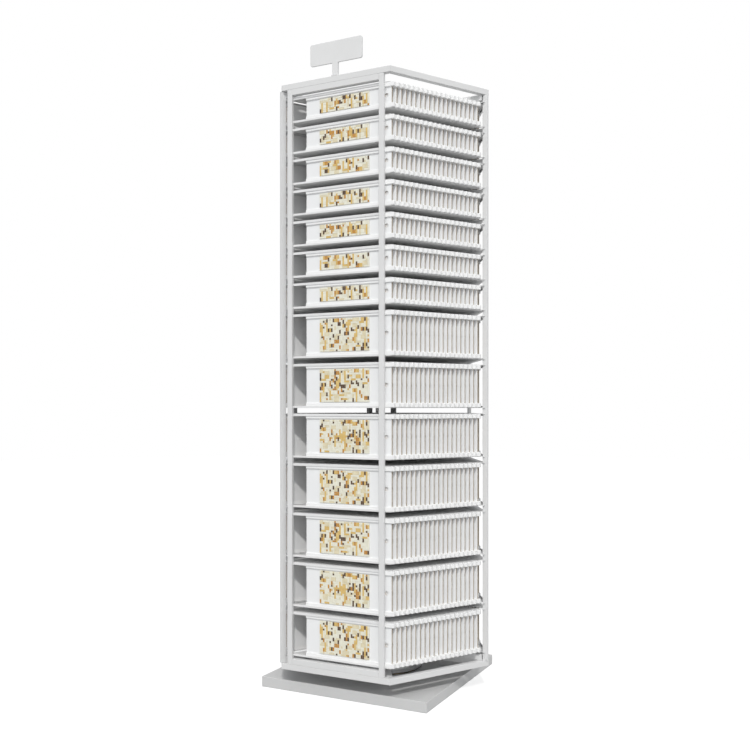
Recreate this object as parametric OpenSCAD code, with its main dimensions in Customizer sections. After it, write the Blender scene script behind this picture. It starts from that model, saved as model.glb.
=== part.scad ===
// Rotating tile display rack. A six-sided tower of steel tube turns on a square plinth.
// Each of its three bays holds fourteen tiers of upright sample boards, which slide out sideways.
// Origin: centre of the plinth's underside on the floor, +Z up, millimetres.

/* [Tower frame] */
// Side of the hexagon, outside the tube
ring_side = 393; // [380:1:440]
// Height from the underside of the bottom ring to the top of the top ring
frame_h = 1900; // [1860:5:2200]
// Side of the square tube
tube = 19; // [16:0.5:22]
// Wall of the square tube
tube_wall = 1.5; // [1:0.1:3]
// Width of a post's section
post_w = 17; // [15:0.5:19]
// Depth of a post's section
post_d = 12; // [10:0.5:14]
// Distance from a corner of the hexagon to the face of the nearest outer post
post_inset = 22.5; // [16:0.5:30]
// Distance from the centre line to the nearest inner post
inner_post_r = 39; // [36:1:45]
// Setback of the inner frame's outer post from the corner
corner_setback = 0.5; // [0.5:0.5:8]

/* [Base] */
// Side of the square plinth
plinth_side = 600; // [520:5:760]
// Height of the plinth
plinth_h = 34; // [28:1:60]
// Sheet thickness of the plinth
plinth_wall = 2; // [1.5:0.1:3]
// Gap between the plinth and the bottom ring
ring_gap = 48; // [44:1:70]
// Thickness of the plate under the plinth
floor_plate_t = 3; // [2:0.5:6]

/* [Turntable] */
// Outer diameter of the bearing plates
bearing_d = 280; // [260:5:300]
// Thickness of each bearing plate
bearing_t = 5; // [4.5:0.1:6]
// Diameter of the circle that the balls run on
race_d = 220; // [200:5:235]
// Diameter of a bearing ball
ball_d = 10; // [8:0.5:11]
// Number of bearing balls
ball_count = 24; // [12:1:30]
// Diameter of the centre pin
pin_d = 24; // [16:1:30]
// How much wider the drum over the bearing is than the circle of balls
drum_over = 20; // [10:1:30]
// Wall of the drum
drum_wall = 5; // [3:0.5:8]
// Thickness of the drum's top and bottom flanges
flange_t = 4; // [3:0.5:6]

/* [Tiers] */
// Number of low tiers, at the top
short_tiers = 7; // [2:1:7]
// Number of high tiers, at the bottom
tall_tiers = 7; // [2:1:7]
// Height from one low tier to the next
short_pitch = 100.5; // [90:0.5:101]
// Open gap between two tiers
tier_gap = 18.5; // [10:0.5:24]
// Gap between the top rail and the first tier
top_gap = 5.5; // [3:0.5:6]
// Gap between the bottom rail and the lowest tier; the high tiers share the height that is left
low_gap = 8; // [5:0.5:20]
// Sheet thickness of trays and guides
tray_t = 1.5; // [1.2:0.1:2.5]
// Height of the strip along a tray
tray_lip = 6.5; // [5:0.5:12]
// Height of the strip along a guide
guide_lip = 8; // [4:0.5:12]
// Thickness of both strips
strip_t = 2; // [1.5:0.1:4]
// Setback of trays and guides from the panels' front ends
sheet_back = 12; // [4:0.5:20]

/* [Sample panels] */
// Panels in a tier
panel_count = 20; // [6:1:20]
// Length of a panel
panel_len = 315; // [280:1:316]
// Thickness of the board
board_t = 9; // [6:0.5:9]
// Width of the edge trim on a board
trim_w = 13.6; // [13.4:0.1:14]
// Height of the trim along the bottom edge
trim_low_h = 14; // [8:0.5:16]
// Height of the trim along the top edge
trim_high_h = 14; // [8:0.5:20]
// Length of trim that stands out beyond the board's front edge
trim_front = 10; // [2:0.5:12]
// Setback of the panels from the open face, along a panel
front_recess = 0.5; // [0:0.5:16]
// Clearance between sliding pieces
slide_gap = 0.3; // [0.2:0.05:0.6]
// Diameter of the finger recess
finger_d = 12; // [8:0.5:18]
// Depth of the finger recess
finger_depth = 4; // [2:0.5:4.5]
// Distance from the front edge to the centre of the finger recess
finger_edge = 17; // [12:0.5:40]

/* [Mosaic samples] */
// Width of a mosaic
mosaic_w = 178; // [120:1:190]
// Distance from the front edge of the board to the mosaic
mosaic_edge = 76; // [60:1:90]
// Thickness of a mosaic
mosaic_t = 3.5; // [1:0.1:4]
// Gap between a mosaic and the trims
mosaic_gap = 3; // [1:0.1:6]
// Thickness of the glue film behind a mosaic
glue_t = 0.1; // [0.05:0.05:0.3]

/* [Sign] */
// Width of the sign plate
sign_w = 187; // [120:1:240]
// Height of the sign plate
sign_h = 69; // [50:1:110]
// Thickness of the sign plate
sign_t = 6; // [4:0.5:10]
// Corner radius of the sign plate
sign_r = 7; // [3:0.5:12]
// Width of the sign's stem
stem_w = 20; // [14:0.5:30]
// Thickness of the sign's stem
stem_t = 3; // [2:0.5:5]
// Height of the stem below the plate
stem_free = 41; // [20:1:80]
// Shift of the stem from the middle of the face
stem_x = -1; // [-60:1:60]
// Shift of the plate's middle from the stem
sign_shift = 3; // [-20:1:20]
// Thread diameter of the sign's screws
screw_d = 4; // [3:0.5:5]

/* [Hidden] */
fine = 64;
tiny = 0.01;
run_fit = 0.05;
weld_gap = 0.05;
rib_gap = 2;
lug_w = 6;
side_gap = 1;
apothem = ring_side * sqrt(3) / 2;
ring_z = plinth_h + ring_gap;
top_z = ring_z + frame_h;
post_z = ring_z + tube;
post_h = frame_h - 2 * tube;
rail_z = [post_z, post_z + post_h - tube];
bay_turn = [0, -120, 120];
slope = 1 / sqrt(3);

tier_count = short_tiers + tall_tiers;
first_tier_z = top_z - 2 * tube - top_gap;
last_tray_z = rail_z[0] + tube + low_gap;
tall_pitch = (first_tier_z - short_tiers * short_pitch - last_tray_z + tier_gap) / tall_tiers;
short_h = short_pitch - tier_gap;
tall_h = tall_pitch - tier_gap;
function is_short(i) = i < short_tiers;
function tier_h(i) = is_short(i) ? short_h : tall_h;
function tier_top(i) = first_tier_z - min(i, short_tiers) * short_pitch - max(i - short_tiers, 0) * tall_pitch;
function panel_h(i) = tier_h(i) - 2 * (tray_t + slide_gap);
function panel_z(i) = tier_top(i) - tier_h(i) + tray_t + slide_gap;

row_y0 = -apothem + post_d + slide_gap;
row_y1 = -tube - slide_gap;
panel_pitch = (row_y1 - row_y0 - trim_w) / (panel_count - 1);
function panel_y(k) = row_y0 + k * panel_pitch;
function face_x(y) = ring_side / 2 + (y + apothem) * slope;
function panel_x(k) = face_x(panel_y(k)) - front_recess - panel_len;
function bay_x(y) = y * slope + side_gap / cos(30);

strip_y = -apothem + post_d - strip_t;
outer_post_x = ring_side / 2 - post_inset - post_w;
inner_post_x1 = ring_side - corner_setback - post_w;
trim_out = trim_w - board_t;
board_len = panel_len - trim_front;
mosaic_x = board_len - mosaic_edge - mosaic_w;

bearing_z = plinth_h;
drum_d = race_d + drum_over;
race_depth = 3;
race_clear = 0.1;
bearing_gap = ball_d + 2 * race_clear - 2 * race_depth;
upper_z = bearing_z + bearing_t + bearing_gap;
drum_z = upper_z + bearing_t;
drum_h = ring_z - drum_z;
pin_bottom_z = floor_plate_t;
pin_head_d = pin_d + 12;
pin_head_t = 5;
bolt_d = 8;
bolt_head_d = 13;
bolt_head_t = 3.5;
bolt_count = 6;
bolt_r = 75;
hub_bolt_r = 105;
cage_t = 2;
cage_w = ball_d + 8;

sign_y = -apothem + tube / 2;
stem_back = 30;
screw_head_d = 1.4 * screw_d;
screw_y = -apothem + screw_head_d / 2 + 0.4;

// Tiers whose outermost panel has a node of its own, by bay
slide_tiers = [[for (i = [0 : tier_count - 1]) i], [6, 7], [6, 7]];
function own_node(bay, i, k) = k == 0 && len([for (t = slide_tiers[bay]) if (t == i) t]) > 0;

// A straight square tube along +X, open at both ends
module tube_x(length) {
    difference() {
        cube([length, tube, tube]);
        translate([-1, tube_wall, tube_wall])
            cube([length + 2, tube - 2 * tube_wall, tube - 2 * tube_wall]);
    }
}

// A post: a straight rectangular tube along +Z
module post() {
    difference() {
        cube([post_w, post_d, post_h]);
        translate([tube_wall, tube_wall, -1])
            cube([post_w - 2 * tube_wall, post_d - 2 * tube_wall, post_h + 2]);
    }
}

// One side of a ring, mitred at both corners; its outer face is on the hexagon's side
module ring_side_tube() {
    mitre = tube * slope;
    hollow = tube - tube_wall;
    half = ring_side / 2 - weld_gap;
    difference() {
        linear_extrude(tube)
            polygon([[-half, -apothem], [half, -apothem],
                [half - mitre, -apothem + tube], [-half + mitre, -apothem + tube]]);
        translate([0, 0, tube_wall])
            linear_extrude(tube - 2 * tube_wall)
                polygon([[-ring_side / 2 - 1, -apothem + tube_wall], [ring_side / 2 + 1, -apothem + tube_wall],
                    [ring_side / 2 + 1, -apothem + hollow], [-ring_side / 2 - 1, -apothem + hollow]]);
    }
}

module ring() {
    for (a = [0 : 60 : 300])
        rotate(a) ring_side_tube();
}

module each_bay() {
    for (turn = bay_turn)
        rotate(turn) children();
}

// Two posts at each panel face
module outer_posts() {
    color("lightgray")
        each_bay()
            for (x = [-outer_post_x - post_w, outer_post_x])
                translate([x, -apothem, post_z]) post();
}

// A rail between the outer posts along each ring
module outer_rails() {
    color("lightgray")
        each_bay()
            for (z = rail_z)
                translate([-outer_post_x, -apothem, z]) tube_x(2 * outer_post_x);
}

// Two posts along each line from the centre to a corner
module inner_posts() {
    color("lightgray")
        each_bay()
            for (x = [inner_post_r, inner_post_x1])
                translate([x, -post_d, post_z]) post();
}

// A rail between the inner posts along each ring
module inner_rails() {
    color("lightgray")
        each_bay()
            for (z = rail_z)
                translate([inner_post_r + post_w, -tube, z])
                    tube_x(inner_post_x1 - inner_post_r - post_w);
}

// Field of a tray or guide, under or over the panels. It reaches from the strip to the inner posts, with a lug
// at the far one, and from the open side to the line of the next bay's inner posts.
module field() {
    y0 = row_y0 - slide_gap + weld_gap;
    y1 = -post_d;
    y2 = y1 - lug_w;
    edge = front_recess + sheet_back;
    lug_x = inner_post_x1 + post_w / 2;
    linear_extrude(tray_t)
        polygon([[bay_x(y0), y0], [face_x(y0) - edge, y0], [face_x(y2) - edge, y2],
            [lug_x, y2], [lug_x, y1], [bay_x(y1), y1]]);
}

// Strip between the outer posts, along the front edge of a tray or guide
module strip(z, h) {
    translate([-outer_post_x, strip_y, z]) cube([2 * outer_post_x, strip_t, h]);
}

module tray(i) {
    translate([0, 0, tier_top(i) - tier_h(i)]) {
        field();
        strip(0, tray_lip);
    }
}

module guide(i) {
    translate([0, 0, tier_top(i) - tray_t]) {
        field();
        strip(tray_t - guide_lip, guide_lip);
    }
}

// A board with its two edge trims, which stand out at its side and its front, and its finger recess
module panel(i, k) {
    h = panel_h(i);
    face_h = h - trim_low_h - trim_high_h;
    translate([panel_x(k), panel_y(k), panel_z(i)])
        difference() {
            cube([panel_len, trim_w, h]);
            translate([-1, -1, trim_low_h])
                cube([panel_len + 2, trim_out + 1, face_h]);
            translate([board_len, -1, trim_low_h])
                cube([trim_front + 1, trim_w + 2, face_h]);
            translate([board_len - finger_edge, trim_out - 1, trim_low_h + face_h / 2])
                rotate([-90, 0, 0])
                    cylinder(d = finger_d, h = finger_depth + 1, $fn = 24);
        }
}

module mosaic(i, k) {
    y = panel_y(k) + trim_out - glue_t - mosaic_t;
    translate([panel_x(k) + mosaic_x, y, panel_z(i) + trim_low_h + mosaic_gap])
        cube([mosaic_w, mosaic_t, panel_h(i) - trim_low_h - trim_high_h - 2 * mosaic_gap]);
}

module boards(bay) {
    color("whitesmoke")
        rotate(bay_turn[bay])
            for (i = [0 : tier_count - 1])
                for (k = [0 : panel_count - 1])
                    if (!own_node(bay, i, k)) panel(i, k);
}

module mosaics(bay) {
    color("goldenrod")
        rotate(bay_turn[bay])
            for (i = [0 : tier_count - 1])
                for (k = [0 : panel_count - 1])
                    if (!own_node(bay, i, k)) mosaic(i, k);
}

// An outermost panel that has a node of its own, with its mosaic
module slide(bay, i) {
    rotate(bay_turn[bay]) {
        color("white") panel(i, 0);
        color("goldenrod") mosaic(i, 0);
    }
}

module trays(bay) {
    color("gainsboro")
        rotate(bay_turn[bay])
            for (i = [0 : tier_count - 1]) tray(i);
}

module guides(bay) {
    color("gainsboro")
        rotate(bay_turn[bay])
            for (i = [0 : tier_count - 1]) guide(i);
}

module bolt_circle(r) {
    for (a = [30 : 360 / bolt_count : 359])
        rotate(a) translate([r, 0, 0]) children();
}

module base_plinth() {
    inner = plinth_side - 2 * plinth_wall;
    color("gainsboro")
        difference() {
            translate([-plinth_side / 2, -plinth_side / 2, 0])
                cube([plinth_side, plinth_side, plinth_h]);
            translate([-inner / 2, -inner / 2, -1])
                cube([inner, inner, plinth_h - plinth_wall + 1]);
            cylinder(d = pin_d, h = plinth_h + 1, $fn = fine);
            bolt_circle(bolt_r) cylinder(d = bolt_d, h = plinth_h + 1, $fn = fine);
        }
}

module base_floor_plate() {
    inner = plinth_side - 2 * plinth_wall;
    rib_h = plinth_h - plinth_wall - floor_plate_t;
    rib_w = 30;
    rib_start = (bearing_d + tube) / 2 + rib_gap;
    rib_stop = plinth_side / 2 + bearing_d / 4;
    color("silver") {
        translate([-inner / 2, -inner / 2, 0])
            cube([inner, inner, floor_plate_t]);
        for (a = [45 : 90 : 315])
            rotate(a)
                translate([rib_start, -rib_w / 2, floor_plate_t])
                    cube([rib_stop - rib_start, rib_w, rib_h]);
        translate([0, 0, floor_plate_t])
            difference() {
                cylinder(d = bearing_d + tube, h = rib_h, $fn = fine);
                translate([0, 0, -1]) cylinder(d = bearing_d - tube, h = rib_h + 2, $fn = fine);
            }
    }
}

module bearing_lower_plate() {
    color("darkgray")
        difference() {
            translate([0, 0, bearing_z]) cylinder(d = bearing_d, h = bearing_t, $fn = fine);
            translate([0, 0, bearing_z - 1]) cylinder(d = pin_d, h = bearing_t + 2, $fn = fine);
            translate([0, 0, bearing_z - 1])
                bolt_circle(bolt_r) cylinder(d = bolt_d, h = bearing_t + 2, $fn = fine);
            race_groove(bearing_z + bearing_t + bearing_gap / 2);
        }
}

module race_groove(z) {
    translate([0, 0, z])
        rotate_extrude($fn = 96)
            translate([race_d / 2, 0]) circle(d = ball_d + 2 * race_clear, $fn = 32);
}

module bearing_upper_plate() {
    color("darkgray")
        difference() {
            translate([0, 0, upper_z]) cylinder(d = bearing_d, h = bearing_t, $fn = fine);
            translate([0, 0, upper_z - 1]) cylinder(d = pin_d + 2 * run_fit, h = bearing_t + 2, $fn = fine);
            translate([0, 0, upper_z - 1])
                bolt_circle(hub_bolt_r - tube) cylinder(d = bolt_d, h = bearing_t + 2, $fn = fine);
            race_groove(bearing_z + bearing_t + bearing_gap / 2);
        }
}

module bearing_pin() {
    top = drum_z + flange_t;
    color("dimgray") {
        translate([0, 0, pin_bottom_z]) cylinder(d = pin_d, h = top + 4 - pin_bottom_z, $fn = fine);
        translate([0, 0, plinth_h - plinth_wall - pin_head_t])
            cylinder(d = pin_head_d, h = pin_head_t, $fn = fine);
    }
}

module base_bolts() {
    color("dimgray")
        bolt_circle(bolt_r) {
            translate([0, 0, bearing_z + bearing_t]) cylinder(d = bolt_head_d, h = bolt_head_t, $fn = 24);
            translate([0, 0, plinth_h - plinth_wall - bolt_head_t])
                cylinder(d = bolt_d, h = bearing_t + plinth_wall + bolt_head_t + tiny, $fn = fine);
        }
}

module bearing_balls() {
    color("silver")
        for (a = [0 : 360 / ball_count : 359])
            rotate(a)
                translate([race_d / 2, 0, bearing_z + bearing_t + bearing_gap / 2])
                    sphere(d = ball_d, $fn = 24);
}

module bearing_cage() {
    color("darkgoldenrod")
        translate([0, 0, bearing_z + bearing_t + bearing_gap / 2 - cage_t / 2])
            difference() {
                cylinder(d = race_d + cage_w, h = cage_t, $fn = fine);
                translate([0, 0, -1]) cylinder(d = race_d - cage_w, h = cage_t + 2, $fn = fine);
                for (a = [0 : 360 / ball_count : 359])
                    rotate(a)
                        translate([race_d / 2, 0, -1])
                            cylinder(d = ball_d + 2 * race_clear, h = cage_t + 2, $fn = 24);
            }
}

module hub_drum() {
    color("silver")
        difference() {
            translate([0, 0, drum_z]) cylinder(d = drum_d, h = drum_h, $fn = fine);
            translate([0, 0, drum_z + flange_t])
                cylinder(d = drum_d - 2 * drum_wall, h = drum_h - 2 * flange_t, $fn = fine);
            translate([0, 0, drum_z - 1]) cylinder(d = pin_d + 2 * run_fit, h = flange_t + 2, $fn = fine);
            translate([0, 0, drum_z - 1])
                bolt_circle(hub_bolt_r - tube) cylinder(d = bolt_d, h = flange_t + 2, $fn = fine);
            translate([0, 0, ring_z - flange_t - 1]) {
                cylinder(d = pin_head_d, h = flange_t + 2, $fn = fine);
                beam_bolt_places() cylinder(d = bolt_d, h = flange_t + 2, $fn = fine);
            }
        }
}

module beam_bolt_places() {
    for (a = [0 : 60 : 300])
        rotate(a) translate([hub_bolt_r - tube, 0, 0]) children();
}

// Six tubes from the drum to the corners of the bottom ring
module hub_beams() {
    start = pin_head_d / 2 + tube;
    stop = ring_side - tube / cos(30) - tube * slope / 2;
    color("lightgray")
        for (a = [0 : 60 : 300])
            rotate(a)
                difference() {
                    translate([start, -tube / 2, ring_z]) tube_x(stop - start);
                    translate([hub_bolt_r - tube, 0, ring_z - 1])
                        cylinder(d = bolt_d, h = tube_wall + 2, $fn = fine);
                }
}

// Bolts through the drum's flanges: one ring holds the bearing, the other holds the beams
module hub_bolts() {
    color("dimgray") {
        bolt_circle(hub_bolt_r - tube) {
            translate([0, 0, drum_z + flange_t]) cylinder(d = bolt_head_d, h = bolt_head_t, $fn = 24);
            translate([0, 0, upper_z + tiny])
                cylinder(d = bolt_d, h = bearing_t + flange_t, $fn = fine);
        }
        beam_bolt_places() {
            translate([0, 0, ring_z + tube_wall]) cylinder(d = bolt_head_d, h = bolt_head_t, $fn = 24);
            translate([0, 0, ring_z - flange_t])
                cylinder(d = bolt_d, h = flange_t + tube_wall + tiny, $fn = fine);
        }
    }
}

module bottom_ring() {
    color("gainsboro") translate([0, 0, ring_z]) ring();
}

module top_ring() {
    color("gainsboro") translate([0, 0, top_z - tube]) ring();
}

module rounded_plate(w, h, t, r) {
    translate([0, t / 2, 0])
        rotate([90, 0, 0])
            linear_extrude(t)
                union() {
                    translate([-w / 2 + r, 0]) square([w - 2 * r, h]);
                    translate([-w / 2, r]) square([w, h - 2 * r]);
                    for (x = [-w / 2 + r, w / 2 - r], z = [r, h - r])
                        translate([x, z]) circle(r = r, $fn = fine);
                }
}

module sign_plate() {
    color("lightgray")
        translate([stem_x + sign_shift, sign_y, top_z + stem_t + stem_free])
            rounded_plate(sign_w, sign_h, sign_t, sign_r);
}

// A flat foot on the ring and an upright behind and below the plate
module sign_stem() {
    color("lightgray")
        difference() {
            translate([stem_x - stem_w / 2, 0, top_z]) {
                translate([0, -apothem, 0]) cube([stem_w, tube, stem_t]);
                translate([0, sign_y + sign_t / 2, 0])
                    cube([stem_w, stem_t, stem_t + stem_free + stem_back]);
                translate([0, sign_y - sign_t / 2, stem_t])
                    cube([stem_w, sign_t + stem_t, stem_free]);
            }
            translate([stem_x, screw_y, top_z - 1])
                cylinder(d = screw_d, h = stem_t + 2, $fn = fine);
        }
}

module sign_screws() {
    color("dimgray")
        translate([stem_x, screw_y, top_z + stem_t]) {
            cylinder(d = screw_head_d, h = 2, $fn = 24);
            translate([0, 0, -stem_t]) cylinder(d = screw_d, h = stem_t + tiny, $fn = fine);
        }
}

base_plinth();
base_floor_plate();
base_bolts();
bearing_lower_plate();
bearing_pin();
bearing_balls();
bearing_cage();
bearing_upper_plate();
hub_drum();
hub_bolts();
hub_beams();
bottom_ring();
top_ring();
outer_posts();
outer_rails();
inner_posts();
inner_rails();
trays(0);  // trays_1
trays(1);  // trays_2
trays(2);  // trays_3
guides(0);  // guides_1
guides(1);  // guides_2
guides(2);  // guides_3
boards(0);  // boards_1
boards(1);  // boards_2
boards(2);  // boards_3
mosaics(0);  // mosaics_1
mosaics(1);  // mosaics_2
mosaics(2);  // mosaics_3
sign_plate();
sign_stem();
sign_screws();
slide(0, 0);  // slide_1_01
slide(0, 1);  // slide_1_02
slide(0, 2);  // slide_1_03
slide(0, 3);  // slide_1_04
slide(0, 4);  // slide_1_05
slide(0, 5);  // slide_1_06
slide(0, 6);  // slide_1_07
slide(0, 7);  // slide_1_08
slide(0, 8);  // slide_1_09
slide(0, 9);  // slide_1_10
slide(0, 10);  // slide_1_11
slide(0, 11);  // slide_1_12
slide(0, 12);  // slide_1_13
slide(0, 13);  // slide_1_14
slide(1, 6);  // slide_2_07
slide(1, 7);  // slide_2_08
slide(2, 6);  // slide_3_07
slide(2, 7);  // slide_3_08
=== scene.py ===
import math
import random

import bmesh
import bpy
from mathutils import Matrix, Vector


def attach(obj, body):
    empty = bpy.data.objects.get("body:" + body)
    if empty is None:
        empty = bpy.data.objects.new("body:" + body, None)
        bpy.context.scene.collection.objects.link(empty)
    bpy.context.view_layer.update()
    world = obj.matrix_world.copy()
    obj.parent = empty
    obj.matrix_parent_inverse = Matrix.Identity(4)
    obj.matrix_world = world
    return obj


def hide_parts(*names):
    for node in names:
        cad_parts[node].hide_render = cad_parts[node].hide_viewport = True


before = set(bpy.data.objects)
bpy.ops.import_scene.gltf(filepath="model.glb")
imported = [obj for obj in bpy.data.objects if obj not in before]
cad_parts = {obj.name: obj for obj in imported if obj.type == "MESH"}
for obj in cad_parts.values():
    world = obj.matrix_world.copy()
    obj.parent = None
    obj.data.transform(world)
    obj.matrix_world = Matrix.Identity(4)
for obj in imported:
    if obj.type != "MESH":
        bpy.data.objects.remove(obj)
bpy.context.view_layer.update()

MM = 0.001
STEEP = math.radians(50)  # edges steeper than this are rounded

# Shared with the model's source
RING_SIDE, FRAME_H, TUBE, POST_D = 393.0, 1900.0, 19.0, 12.0
RING_Z = 34.0 + 48.0
TOP_Z = RING_Z + FRAME_H
APOTHEM = RING_SIDE * math.sqrt(3) / 2
SHORT, TALL = 7, 7
SHORT_PITCH, TIER_GAP, TOP_GAP, LOW_GAP = 100.5, 18.5, 5.5, 8.0
TRAY_T, SLIDE_GAP = 1.5, 0.3
COUNT, PANEL_LEN, BOARD_T, TRIM_W = 20, 315.0, 9.0, 13.6
TRIM_LOW, TRIM_HIGH, TRIM_FRONT, RECESS = 14.0, 14.0, 10.0, 0.5
FINGER_D, FINGER_DEPTH, FINGER_EDGE = 12.0, 4.0, 17.0
MOSAIC_W, MOSAIC_EDGE, MOSAIC_T, MOSAIC_GAP, GLUE = 178.0, 76.0, 3.5, 3.0, 0.1

FIRST_Z = TOP_Z - 2 * TUBE - TOP_GAP
LAST_TRAY_Z = RING_Z + 2 * TUBE + LOW_GAP
TALL_PITCH = (FIRST_Z - SHORT * SHORT_PITCH - LAST_TRAY_Z + TIER_GAP) / TALL
BAY_TURN = (0.0, -120.0, 120.0)
TRIM_OUT = TRIM_W - BOARD_T
BOARD_LEN = PANEL_LEN - TRIM_FRONT
MOSAIC_X = BOARD_LEN - MOSAIC_EDGE - MOSAIC_W
ROW_Y0 = -APOTHEM + POST_D + SLIDE_GAP
ROW_Y1 = -TUBE - SLIDE_GAP
PITCH = (ROW_Y1 - ROW_Y0 - TRIM_W) / (COUNT - 1)
OWN_TIERS = (range(SHORT + TALL), (6, 7), (6, 7))


def tier_h(i):
    return (SHORT_PITCH if i < SHORT else TALL_PITCH) - TIER_GAP


def tier_top(i):
    return FIRST_Z - min(i, SHORT) * SHORT_PITCH - max(i - SHORT, 0) * TALL_PITCH


def panel_h(i):
    return tier_h(i) - 2 * (TRAY_T + SLIDE_GAP)


def panel_at(i, k):
    y = ROW_Y0 + k * PITCH
    x = RING_SIDE / 2 + (y + APOTHEM) / math.sqrt(3) - RECESS - PANEL_LEN
    return Vector((x, y, tier_top(i) - tier_h(i) + TRAY_T + SLIDE_GAP))


# Materials


class Nodes:
    """Short calls for a material's or a world's node tree."""

    def __init__(self, owner):
        owner.use_nodes = True
        self.tree = owner.node_tree
        self.tree.nodes.clear()

    def add(self, kind, **values):
        node = self.tree.nodes.new(kind)
        for name, value in values.items():
            if hasattr(node, name):
                setattr(node, name, value)
            else:
                node.inputs[name.replace("_", " ")].default_value = value
        return node

    def join(self, source, target):
        self.tree.links.new(source, target)

    def ramp(self, source, stops, hard=False):
        node = self.add("ShaderNodeValToRGB")
        node.color_ramp.interpolation = "CONSTANT" if hard else "LINEAR"
        marks = node.color_ramp.elements
        while len(marks) < len(stops):
            marks.new(0.5)
        for mark, (place, colour) in zip(marks, stops):
            mark.position = place
            mark.color = (*colour, 1)
        self.join(source, node.inputs[0])
        return node.outputs[0]

    def noise(self, at, scale, detail=3.0, stretch=None):
        if stretch:
            mapping = self.add("ShaderNodeMapping")
            mapping.inputs["Scale"].default_value = stretch
            self.join(at, mapping.inputs[0])
            at = mapping.outputs[0]
        node = self.add("ShaderNodeTexNoise", Scale=scale, Detail=detail)
        self.join(at, node.inputs["Vector"])
        return node.outputs[0]


    def seen_white(self, plain, white):
        """The white shader for the camera, reflections and glass, and the plain one for all other light."""
        path = self.add("ShaderNodeLightPath")
        seen = path.outputs["Is Camera Ray"]
        for kind in ("Is Glossy Ray", "Is Transmission Ray"):
            either = self.add("ShaderNodeMath", operation="MAXIMUM")
            self.join(seen, either.inputs[0])
            self.join(path.outputs[kind], either.inputs[1])
            seen = either.outputs[0]
        choice = self.add("ShaderNodeMixShader")
        self.join(seen, choice.inputs[0])
        self.join(plain.outputs[0], choice.inputs[1])
        self.join(white.outputs[0], choice.inputs[2])
        return choice.outputs[0]


def grey(v):
    return (v, v, v)


def surface(name, dark, light, rough, metal=0.0, cloud=6.0, grain=900.0, bump=0.05, stretch=None, coat=0.0):
    """A finish whose colour drifts between two near tones, with a fine grain in bump and roughness."""
    m = bpy.data.materials.new(name)
    n = Nodes(m)
    at = n.add("ShaderNodeTexCoord").outputs["Object"]
    shade = n.ramp(n.noise(at, cloud, 4.0, stretch), [(0.3, dark), (0.7, light)])
    fine = n.noise(at, grain, 2.0, stretch)
    gloss = n.ramp(fine, [(0.25, grey(rough[0])), (0.75, grey(rough[1]))])
    lift = n.add("ShaderNodeBump", Strength=bump, Distance=0.0002)
    n.join(fine, lift.inputs["Height"])
    shader = n.add("ShaderNodeBsdfPrincipled")
    shader.inputs["Metallic"].default_value = metal
    shader.inputs["Coat Weight"].default_value = coat
    n.join(shade, shader.inputs["Base Color"])
    n.join(gloss, shader.inputs["Roughness"])
    n.join(lift.outputs[0], shader.inputs["Normal"])
    out = n.add("ShaderNodeOutputMaterial")
    n.join(shader.outputs[0], out.inputs[0])
    return m


def tile_field():
    """Small rectangular tiles in mixed colours, for mosaics that stand hidden between the boards."""
    m = bpy.data.materials.new("mosaic_field")
    n = Nodes(m)
    at = n.add("ShaderNodeTexCoord").outputs["Object"]
    turn = n.add("ShaderNodeVectorMath", operation="MULTIPLY")
    n.join(at, turn.inputs[0])
    turn.inputs[1].default_value = (1 / 0.012, 1 / 0.012, 1 / 0.006)
    whole = n.add("ShaderNodeVectorMath", operation="FLOOR")
    n.join(turn.outputs[0], whole.inputs[0])
    dice = n.add("ShaderNodeTexWhiteNoise")
    n.join(whole.outputs[0], dice.inputs["Vector"])
    colour = n.ramp(dice.outputs["Value"], [(0.0, CREAM[1]), (0.6, SAND[1]), (0.7, GOLD[1]), (0.83, AMBER[1]),
                                             (0.9, BROWN[1])], hard=True)
    drift = n.noise(at, 300.0)
    lift = n.add("ShaderNodeBump", Strength=0.3, Distance=0.0005)
    n.join(drift, lift.inputs["Height"])
    shader = n.add("ShaderNodeBsdfPrincipled", Roughness=0.3)
    n.join(colour, shader.inputs["Base Color"])
    n.join(lift.outputs[0], shader.inputs["Normal"])
    out = n.add("ShaderNodeOutputMaterial")
    n.join(shader.outputs[0], out.inputs[0])
    return m


CREAM = ((0.75, 0.725, 0.60), (0.84, 0.825, 0.71))
SAND = ((0.66, 0.58, 0.38), (0.76, 0.69, 0.50))
GOLD = ((0.60, 0.39, 0.10), (0.73, 0.52, 0.18))
AMBER = ((0.42, 0.18, 0.02), (0.56, 0.28, 0.04))
BROWN = ((0.045, 0.018, 0.006), (0.10, 0.045, 0.014))

PAINT = surface("white_powder_coat", grey(0.67), grey(0.72), (0.38, 0.5), cloud=3.0, grain=1400.0, bump=0.12)
SHEET = surface("white_sheet", grey(0.72), grey(0.78), (0.36, 0.48), cloud=4.0, grain=1200.0, bump=0.1)
BASE = surface("base_powder_coat", grey(0.56), grey(0.61), (0.42, 0.55), cloud=2.5, grain=1100.0, bump=0.15)
LAMINATE = surface("board_laminate", (0.80, 0.805, 0.81), (0.86, 0.865, 0.87), (0.30, 0.40), cloud=5.0,
                   grain=700.0, bump=0.06)
TRIM = surface("trim_plastic", (0.84, 0.84, 0.84), (0.89, 0.89, 0.89), (0.24, 0.34), cloud=8.0, grain=500.0,
               bump=0.04)
CORE = surface("fibre_core", (0.38, 0.32, 0.25), (0.52, 0.45, 0.37), (0.7, 0.9), cloud=160.0, grain=1500.0,
               bump=0.5)
SIGN = surface("sign_enamel", grey(0.70), grey(0.75), (0.22, 0.32), cloud=9.0, grain=800.0, bump=0.05)
ZINC = surface("zinc_steel", (0.42, 0.43, 0.45), (0.60, 0.61, 0.63), (0.3, 0.5), 1.0, cloud=70.0, grain=400.0,
               bump=0.15)
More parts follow.
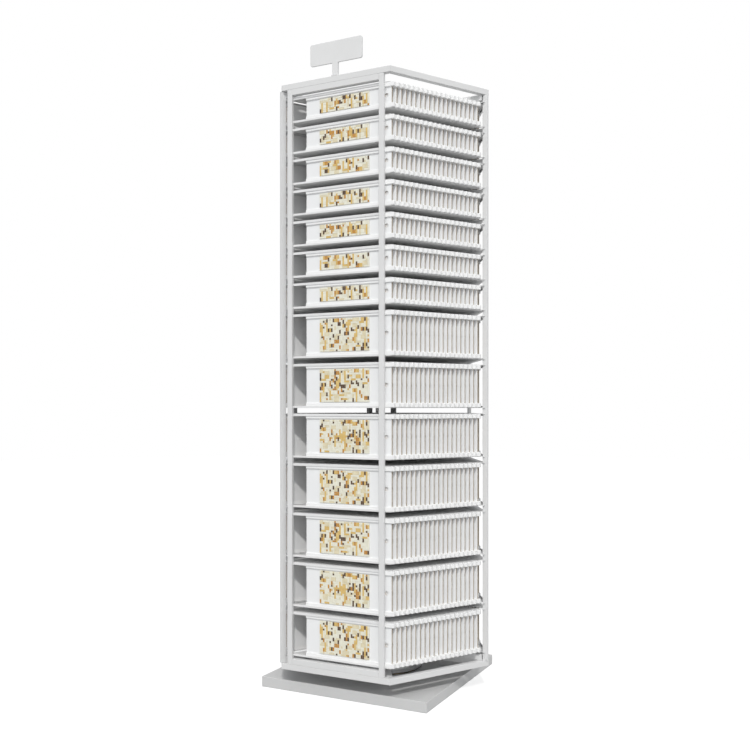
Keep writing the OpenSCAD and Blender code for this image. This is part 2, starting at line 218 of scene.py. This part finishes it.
BRIGHT = surface("bright_steel", (0.55, 0.55, 0.56), (0.68, 0.68, 0.69), (0.16, 0.28), 1.0, cloud=40.0,
                 grain=900.0, bump=0.08, stretch=(1, 1, 12))
BRASS = surface("cage_brass", (0.52, 0.38, 0.16), (0.64, 0.48, 0.22), (0.25, 0.4), 1.0, cloud=60.0)
GROUT = surface("grout", (0.68, 0.64, 0.54), (0.78, 0.75, 0.65), (0.8, 0.95), cloud=220.0, grain=1800.0,
                bump=0.6)
TILE_TONES = (("cream", CREAM), ("sand", SAND), ("gold", GOLD), ("amber", AMBER), ("brown", BROWN))
TILES = [surface("tile_" + word, *tones, (0.14, 0.3), cloud=70.0, grain=600.0, bump=0.12, coat=0.2)
         for word, tones in TILE_TONES]
FIELD = tile_field()

NODE_FINISH = {
    "base_plinth": BASE, "base_floor_plate": ZINC, "base_bolts": ZINC, "bearing_lower_plate": BRIGHT,
    "bearing_pin": BRIGHT, "bearing_balls": BRIGHT, "bearing_cage": BRASS, "bearing_upper_plate": BRIGHT,
    "hub_drum": PAINT, "hub_bolts": ZINC, "hub_beams": PAINT, "bottom_ring": PAINT, "top_ring": PAINT,
    "outer_posts": PAINT, "outer_rails": PAINT, "inner_posts": PAINT, "inner_rails": PAINT,
    "sign_plate": SIGN, "sign_stem": SIGN, "sign_screws": ZINC,
}
# Rounding of the edges, from the bends of the sheet and the drawing of the tube
EDGE_ROUND = {"base_plinth": 1.5, "sign_plate": 1.2, "sign_stem": 0.5}
EDGE_ROUND.update((name, 1.2) for name in ("bottom_ring", "top_ring", "outer_posts", "outer_rails",
                                           "inner_posts", "inner_rails", "hub_beams"))
for sheet in ("trays", "guides"):
    for bay in (1, 2, 3):
        NODE_FINISH["%s_%d" % (sheet, bay)] = SHEET
        EDGE_ROUND["%s_%d" % (sheet, bay)] = 0.5

for name, finish in NODE_FINISH.items():
    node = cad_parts[name]
    node.data.materials.clear()
    node.data.materials.append(finish)
    if name in EDGE_ROUND:
        weld = node.modifiers.new("weld", "WELD")
        weld.merge_threshold = 0.00001
        bevel = node.modifiers.new("bevel", "BEVEL")
        bevel.width = EDGE_ROUND[name] * MM
        bevel.segments = 2
        bevel.limit_method = "ANGLE"
        bevel.angle_limit = STEEP
        bevel.harden_normals = False


# Panels


def new_mesh(name, parts, materials):
    """One mesh from (vertices in mm, faces, material index per face, smooth per face) lists."""
    verts, faces, index, smooth = [], [], [], []
    for v, f, m, s in parts:
        start = len(verts)
        verts += v
        faces += [[start + a for a in face] for face in f]
        index += m
        smooth += s
    mesh = bpy.data.meshes.new(name)
    mesh.from_pydata([tuple(c * MM for c in v) for v in verts], [], faces)
    for material in materials:
        mesh.materials.append(material)
    mesh.polygons.foreach_set("material_index", index)
    mesh.polygons.foreach_set("use_smooth", smooth)
    mesh.update()
    return mesh


def block(lo, hi, material, rounding, segments=2):
    """A box with rounded edges, as one part for new_mesh."""
    b = bmesh.new()
    bmesh.ops.create_cube(b, size=1)
    size = [h - l for l, h in zip(lo, hi)]
    for v in b.verts:
        v.co = Vector([l + (c + 0.5) * s for l, c, s in zip(lo, v.co, size)])
    if rounding:
        bmesh.ops.bevel(b, geom=list(b.edges), offset=rounding, segments=segments, profile=0.5,
                        affect="EDGES")
    b.verts.ensure_lookup_table()
    part = ([tuple(v.co) for v in b.verts], [[v.index for v in f.verts] for f in b.faces],
            [material] * len(b.faces), [False] * len(b.faces))
    b.free()
    return part


def bar(x0, x1, outline, material, rounding):
    """A trim: its outline in y and z is drawn along x, and its ends are rounded in."""
    cy = sum(p[0] for p in outline) / len(outline)
    cz = sum(p[1] for p in outline) / len(outline)
    spread = max(abs(p[0] - cy) for p in outline)
    rise = max(abs(p[1] - cz) for p in outline)
    stations = [(x0, rounding), (x0 + 0.3 * rounding, 0.3 * rounding), (x0 + rounding, 0),
                (x1 - rounding, 0), (x1 - 0.3 * rounding, 0.3 * rounding), (x1, rounding)]
    verts, faces = [], []
    n = len(outline)
    for x, inset in stations:
        for y, z in outline:
            verts.append((x, cy + (y - cy) * (1 - inset / spread), cz + (z - cz) * (1 - inset / rise)))
    for s in range(len(stations) - 1):
        for a in range(n):
            b = (a + 1) % n
            faces.append([s * n + a, s * n + b, (s + 1) * n + b, (s + 1) * n + a])
    faces.append(list(range(n))[::-1])
    faces.append([(len(stations) - 1) * n + a for a in range(n)])
    return (verts, faces, [material] * len(faces), [False] * len(faces))


def rounded_outline(y0, y1, z0, z1, r, steps):
    """A rounded rectangle in y and z, from its corner with low y and low z on."""
    points = []
    for cy, cz, start in ((y0 + r, z0 + r, 180), (y1 - r, z0 + r, 270), (y1 - r, z1 - r, 0),
                          (y0 + r, z1 - r, 90)):
        for s in range(steps + 1):
            a = math.radians(start + 90 * s / steps)
            points.append((cy + r * math.cos(a), cz + r * math.sin(a)))
    return points


TRIM_ROUND, TRIM_END_ROUND, TRIM_BITE = 1.6, 1.2, 1.5
BOARD_EDGE, RECESS_EDGE, RECESS_MARGIN = 0.5, 0.4, 2.5
LAM, COR, TRI = 0, 1, 2
PANEL_FINISH = [LAMINATE, CORE, TRIM]


def board(h, sides):
    """The board between its trims. Its front face has the finger recess, and its ends show the core."""
    x1, y0, y1 = BOARD_LEN, TRIM_OUT, TRIM_W
    z0, z1 = TRIM_LOW - TRIM_BITE, h - TRIM_HIGH + TRIM_BITE
    c = BOARD_EDGE
    cx, cz, r = x1 - FINGER_EDGE, (TRIM_LOW + h - TRIM_HIGH) / 2, FINGER_D / 2
    half = r + RECESS_MARGIN
    rim = r + RECESS_EDGE
    verts, faces, index = [], [], []

    def quad(points, material):
        start = len(verts)
        verts.extend(points)
        faces.append(list(range(start, start + len(points))))
        index.append(material)

    def front(xa, xb, za, zb):
        quad([(xa, y0, za), (xb, y0, za), (xb, y0, zb), (xa, y0, zb)], LAM)

    xa, xb = c, x1 - c
    front(xa, cx - half, z0, z1)
    front(cx + half, xb, z0, z1)
    front(cx - half, cx + half, z0, cz - half)
    front(cx - half, cx + half, cz + half, z1)
    ring = []
    for s in range(sides):
        a = math.radians(45 + 360 * s / sides)
        ca, sa = math.cos(a), math.sin(a)
        reach = half / max(abs(ca), abs(sa))
        ring.append([(cx + out * ca, y0 + deep, cz + out * sa)
                     for out, deep in ((reach, 0), (rim, 0), (r, RECESS_EDGE), (r, FINGER_DEPTH))])
    for s in range(sides):
        p, q = ring[s], ring[(s + 1) % sides]
        quad([p[0], p[1], q[1], q[0]], LAM)
        quad([p[1], p[2], q[2], q[1]], TRI)
        quad([p[2], p[3], q[3], q[2]], COR)
    quad([p[3] for p in ring][::-1], LAM)
    quad([(xa, y1, z0), (xa, y1, z1), (xb, y1, z1), (xb, y1, z0)], LAM)
    for x, inner, flip in ((x1, xb, False), (0.0, xa, True)):
        strips = [([(x, y0 + c, z0), (x, y1 - c, z0), (x, y1 - c, z1), (x, y0 + c, z1)], COR),
                  ([(inner, y0, z0), (x, y0 + c, z0), (x, y0 + c, z1), (inner, y0, z1)], LAM),
                  ([(x, y1 - c, z0), (inner, y1, z0), (inner, y1, z1), (x, y1 - c, z1)], LAM)]
        for points, material in strips:
            quad(points[::-1] if flip else points, material)
    quad([(0, y0 + c, z0), (xa, y0, z0), (xb, y0, z0), (x1, y0 + c, z0), (x1, y1 - c, z0), (xb, y1, z0),
          (xa, y1, z0), (0, y1 - c, z0)][::-1], COR)
    quad([(0, y0 + c, z1), (xa, y0, z1), (xb, y0, z1), (x1, y0 + c, z1), (x1, y1 - c, z1), (xb, y1, z1),
          (xa, y1, z1), (0, y1 - c, z1)], COR)
    return (verts, faces, index, [False] * len(faces))


def panel_parts(i, fine=True):
    """A board and its two edge trims, from its own lower rear corner."""
    h = panel_h(i)
    steps = 3 if fine else 2
    low = rounded_outline(0, TRIM_W, 0, TRIM_LOW, TRIM_ROUND, steps)
    high = rounded_outline(0, TRIM_W, h - TRIM_HIGH, h, TRIM_ROUND, steps)
    return [board(h, 24 if fine else 12), bar(0, PANEL_LEN, low, TRI, TRIM_END_ROUND),
            bar(0, PANEL_LEN, high, TRI, TRIM_END_ROUND)]


def mosaic_size(i):
    return MOSAIC_W, panel_h(i) - TRIM_LOW - TRIM_HIGH - 2 * MOSAIC_GAP


def mosaic_corner(i):
    return Vector((MOSAIC_X, TRIM_OUT - GLUE - MOSAIC_T, TRIM_LOW + MOSAIC_GAP))


TILE_CELL, TILE_JOINT, TILE_FOOT, TILE_BEVEL = 6.0, 0.3, 1.6, (0.45, 0.35)
GROUT_EDGE, GROUT_DEPTH, GROUT_ROUND = 0.2, 0.9, 0.3


def tile(x0, x1, z0, z1, depth, material):
    """One tile: its face stands at y = 0 and its foot sinks into the grout."""
    e, d = TILE_BEVEL
    outer = [(x0, d, z0), (x1, d, z0), (x1, d, z1), (x0, d, z1)]
    inner = [(x0 + e, 0, z0 + e), (x1 - e, 0, z0 + e), (x1 - e, 0, z1 - e), (x0 + e, 0, z1 - e)]
    foot = [(x, depth, z) for x, _, z in outer]
    verts = inner + outer + foot
    faces = [[0, 1, 2, 3]]
    for a in range(4):
        b = (a + 1) % 4
        faces.append([4 + a, 4 + b, b, a])
        faces.append([8 + a, 8 + b, 4 + b, 4 + a])
    return (verts, faces, [material] * 9, [False] * 9)


CREAM_TONE, SAND_TONE, GOLD_TONE, AMBER_TONE, BROWN_TONE = range(5)
# Width and height in cells, pieces side by side, tones, share of the mosaic's area
ACCENTS = (
    (1, 5, 1, (GOLD_TONE,), 0.09),
    (1, 2, 3, (AMBER_TONE, BROWN_TONE, GOLD_TONE), 0.12),
    (3, 1, 1, (GOLD_TONE, SAND_TONE), 0.045),
    (1, 2, 1, (BROWN_TONE, BROWN_TONE, AMBER_TONE), 0.09),
    (3, 2, 1, (SAND_TONE,), 0.08),
    (1, 1, 1, (BROWN_TONE, AMBER_TONE, GOLD_TONE), 0.04),
)
FILL = ((2, 2), (2, 1), (1, 2), (3, 1), (1, 3), (1, 1))
TRIES = 12
CREAM_SHARE, SAND_SHARE = 85, 15


def mosaic_parts(i, seed, first):
    """A seeded layout of coloured accents among cream tiles, on a grout slab."""
    w, h = mosaic_size(i)
    nx, nz = round(w / TILE_CELL), round(h / TILE_CELL)
    px, pz = w / nx, h / nz
    rng = random.Random(seed)
    taken = set()
    parts = [block((GROUT_EDGE, GROUT_DEPTH, GROUT_EDGE), (w - GROUT_EDGE, MOSAIC_T, h - GROUT_EDGE), first,
                   GROUT_ROUND, 1)]

    def lay(x, z, a, b, tone):
        cells = [(x + s, z + t) for s in range(a) for t in range(b)]
        if any(c in taken or c[0] >= nx or c[1] >= nz for c in cells):
            return False
        taken.update(cells)
        g = TILE_JOINT
        parts.append(tile(x * px + g, (x + a) * px - g, z * pz + g, (z + b) * pz - g, TILE_FOOT,
                          first + 1 + tone))
        return True

    for a, b, side, tones, share in ACCENTS:
        for _ in range(max(1, round(share * nx * nz / (a * b * side)))):
            for _ in range(TRIES):
                x, z = rng.randrange(nx), rng.randrange(nz)
                if lay(x, z, a, b, rng.choice(tones)):
                    for s in range(1, side):
                        lay(x + s * a, z, a, b, rng.choice(tones))
                    break
    for z in range(nz):
        for x in range(nx):
            shapes = list(FILL)
            rng.shuffle(shapes)
            tone = rng.choices((CREAM_TONE, SAND_TONE), (CREAM_SHARE, SAND_SHARE))[0]
            for a, b in shapes:
                if (x, z) in taken or lay(x, z, a, b, tone):
                    break
    return parts


def moved(parts, at):
    return [([(x + at[0], y + at[1], z + at[2]) for x, y, z in v], f, m, s) for v, f, m, s in parts]


ALL_FINISH = PANEL_FINISH + [GROUT] + TILES
SEEDS = (11, 23, 37)
TALL_SEED_STEP = 100
sample_meshes = {}


def mosaic_seed(i, kind):
    return SEEDS[kind] + (0 if i < SHORT else TALL_SEED_STEP)


def sample_mesh(i, kind):
    """A panel with its mosaic, shared by the panels of the same height and layout."""
    key = (i < SHORT, kind)
    if key not in sample_meshes:
        glued = mosaic_parts(i, mosaic_seed(i, kind), len(PANEL_FINISH))
        parts = panel_parts(i) + moved(glued, mosaic_corner(i))
        sample_meshes[key] = new_mesh("sample_%s_%d" % ("low" if key[0] else "high", kind), parts, ALL_FINISH)
    return sample_meshes[key]


def show(name, mesh):
    piece = bpy.data.objects.new(name, mesh)
    bpy.context.scene.collection.objects.link(piece)
    return piece


def turned(bay):
    return Matrix.Rotation(math.radians(BAY_TURN[bay]), 4, "Z")


coarse = {True: panel_parts(0, False), False: panel_parts(SHORT, False)}
for bay in range(3):
    rows, fields = [], []
    for i in range(SHORT + TALL):
        w, h = mosaic_size(i)
        for k in range(COUNT):
            at = panel_at(i, k)
            if k == 0 and i in OWN_TIERS[bay]:
                continue
            if k == 0:
                rows += moved(panel_parts(i), at)
                corner = at + mosaic_corner(i)
                fields += moved(mosaic_parts(i, mosaic_seed(i, (i + bay) % 3), 1), corner)
                continue
            rows += moved(coarse[i < SHORT], at)
            fields += moved([block((0, 0, 0), (w, MOSAIC_T, h), 0, 0.3, 1)], at + mosaic_corner(i))
    mesh = new_mesh("board_rows_%d" % (bay + 1), rows, PANEL_FINISH)
    mesh.transform(turned(bay))
    piece = show(mesh.name, mesh)
    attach(piece, "tower")
    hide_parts("boards_%d" % (bay + 1))
    mesh = new_mesh("mosaic_rows_%d" % (bay + 1), fields, [FIELD, GROUT] + TILES)
    mesh.transform(turned(bay))
    piece = show(mesh.name, mesh)
    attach(piece, "tower")
    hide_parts("mosaics_%d" % (bay + 1))
    for i in OWN_TIERS[bay]:
        label = "%d_%02d" % (bay + 1, i + 1)
        piece = show("sample_" + label, sample_mesh(i, (i + bay) % 3))
        piece.matrix_world = turned(bay) @ Matrix.Translation(panel_at(i, 0) * MM)
        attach(piece, "panel_" + label)
        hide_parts("slide_" + label)


# Floor, light and camera

FLOOR_RADIUS, FLOOR_DROP = 14, 0.0002
FLOOR_TONES, FLOOR_GLOW, FLOOR_BOUNCE = (0.39, 0.41), 0.72, 0.4
AMBIENT, AMBIENT_COLOUR = 0.6, (0.965, 0.985, 1, 1)
# Name, energy, colour, angle in degrees, and the direction to the lamp
LAMPS = (("sun", 1.5, (1, 0.985, 0.96), 3, (0.55, -1, 1.12)),
         ("fill", 0.88, (0.97, 0.985, 1), 90, (0.48, -1, 0.4)))
CAMERA_AT, CAMERA_YAW = (1.40247, -2.83466, 0.93435), 26.763
SENSOR_WIDTH, LENS, SHIFT_Y = 36, 43.444, 0.04294

bpy.ops.mesh.primitive_circle_add(vertices=96, radius=FLOOR_RADIUS, fill_type="NGON",
                                  location=(0, 0, -FLOOR_DROP))
floor = bpy.context.object
floor.name = "floor"
stage_finish = bpy.data.materials.new("floor_white")
n = Nodes(stage_finish)
at = n.add("ShaderNodeTexCoord").outputs["Object"]
tone = n.ramp(n.noise(at, 2.0), [(0.3, grey(FLOOR_TONES[0])), (0.7, grey(FLOOR_TONES[1]))])
dim = n.add("ShaderNodeBsdfDiffuse")
n.join(tone, dim.inputs[0])
glow = n.add("ShaderNodeEmission", Strength=FLOOR_GLOW)
both = n.add("ShaderNodeAddShader")
n.join(dim.outputs[0], both.inputs[0])
n.join(glow.outputs[0], both.inputs[1])
plain = n.add("ShaderNodeBsdfDiffuse")
plain.inputs[0].default_value = (*grey(FLOOR_BOUNCE), 1)
out = n.add("ShaderNodeOutputMaterial")
n.join(n.seen_white(plain, both), out.inputs[0])
floor.data.materials.append(stage_finish)

world = bpy.data.worlds.new("studio")
bpy.context.scene.world = world
n = Nodes(world)
ambient = n.add("ShaderNodeBackground", Strength=AMBIENT)
white = n.add("ShaderNodeBackground", Strength=1.0)
white.inputs[0].default_value = (1, 1, 1, 1)
ambient.inputs[0].default_value = AMBIENT_COLOUR
out = n.add("ShaderNodeOutputWorld")
n.join(n.seen_white(ambient, white), out.inputs[0])

for name, energy, colour, angle, toward in LAMPS:
    lamp = bpy.data.objects.new(name, bpy.data.lights.new(name, "SUN"))
    lamp.data.energy = energy
    lamp.data.color = colour
    lamp.data.angle = math.radians(angle)
    lamp.rotation_mode = "QUATERNION"
    lamp.rotation_quaternion = Vector(toward).to_track_quat("Z", "Y")
    bpy.context.scene.collection.objects.link(lamp)

camera = bpy.data.objects.new("camera", bpy.data.cameras.new("camera"))
camera.data.sensor_width = SENSOR_WIDTH
camera.data.lens = LENS
camera.data.shift_y = SHIFT_Y
camera.data.clip_end = 60
camera.location = CAMERA_AT
camera.rotation_euler = (math.radians(90), 0, math.radians(CAMERA_YAW))
bpy.context.scene.collection.objects.link(camera)
bpy.context.scene.camera = camera

bpy.context.scene.view_settings.view_transform = "Standard"
